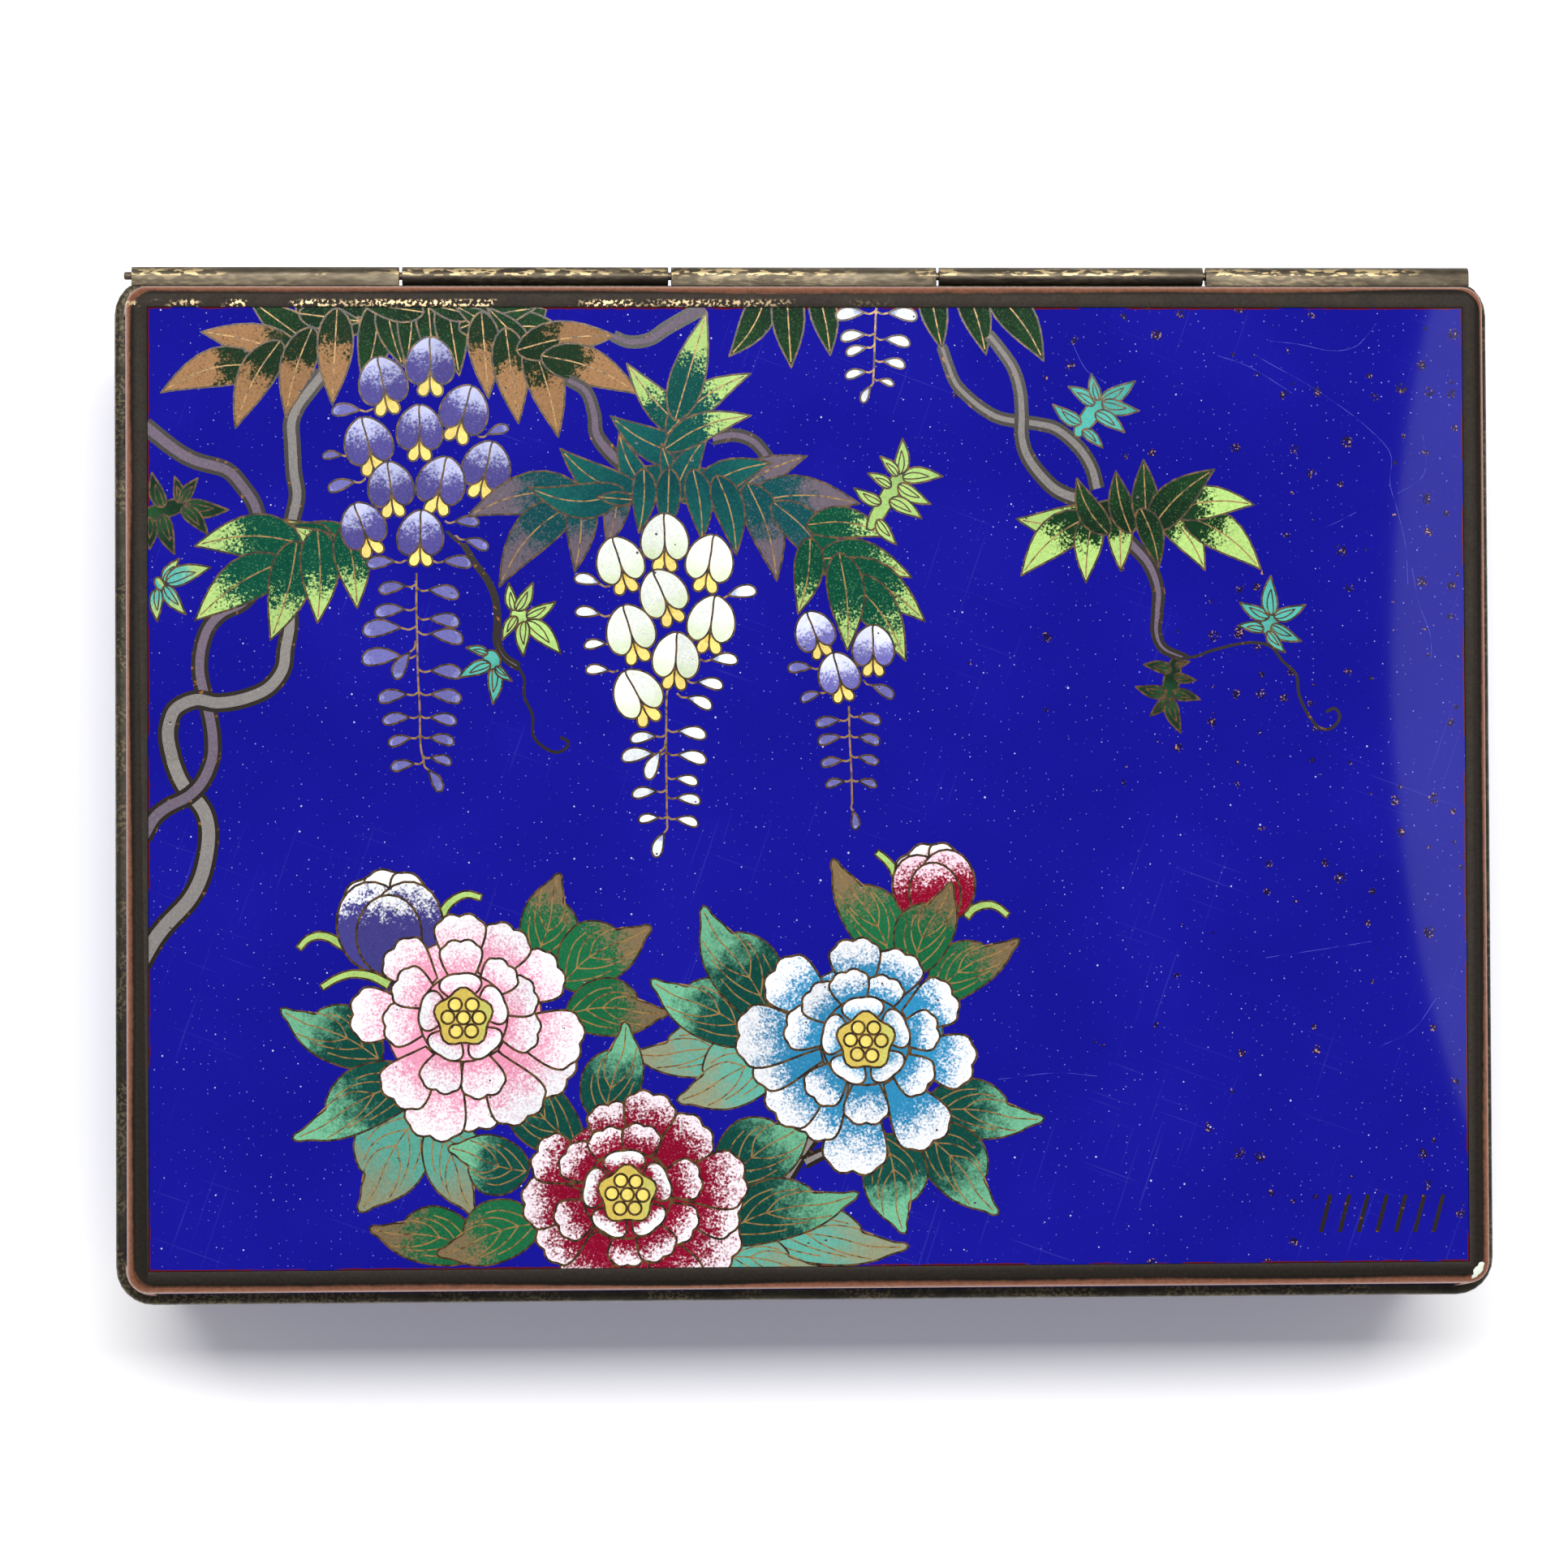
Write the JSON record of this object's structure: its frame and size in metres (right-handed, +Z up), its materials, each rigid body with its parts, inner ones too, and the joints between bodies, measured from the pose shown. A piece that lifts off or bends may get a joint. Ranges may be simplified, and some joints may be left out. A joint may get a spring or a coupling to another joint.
{
  "type": "cloisonne enamel box",
  "caption": "Low rectangular hinged-lid box of copper with deep blue cloisonne enamel panels, flowers on its lid, brass bezels and a full-length back hinge.",
  "frame": {"origin": "middle of the underside, on the plane the box stands on", "axes": "+X along the length, to the right seen from the front; +Y towards the hinge; +Z up"},
  "size_m": [0.1212, 0.0911, 0.03],
  "materials": {
    "copper": "worn copper, dark patina towards the enamel, bright along the edges",
    "gilt_brass": "tarnished brass with the last of its gilding",
    "pin_steel": "dull, browned",
    "blue_enamel": "opaque polished glass enamel with fine pits",
    "counter_enamel": "opaque enamel, fired and left unpolished"
  },
  "bodies": {
    "base": {"base_tray": "copper", "base_bottom_enamel": "blue_enamel", "base_front_enamel": "blue_enamel", "base_back_enamel": "blue_enamel", "base_left_enamel": "blue_enamel", "base_right_enamel": "blue_enamel", "base_lining": "counter_enamel", "base_bezel": "gilt_brass", "base_knuckle_2": "gilt_brass", "base_knuckle_4": "gilt_brass", "hinge_pin": "pin_steel"},
    "lid": {"lid_tray": "copper", "lid_top_enamel": "blue_enamel", "lid_front_enamel": "blue_enamel", "lid_back_enamel": "blue_enamel", "lid_left_enamel": "blue_enamel", "lid_right_enamel": "blue_enamel", "lid_lining": "counter_enamel", "lid_bezel": "gilt_brass", "lid_knuckle_1": "gilt_brass", "lid_knuckle_3": "gilt_brass", "lid_knuckle_5": "gilt_brass"}
  },
  "joints": [
    {"name": "lid_hinge", "type": "hinge", "parent": "base", "child": "lid", "pos_m": [0, 0.04525, 0.02205], "axis": [-1, 0, 0], "range_deg": [0, 110]}
  ]
}
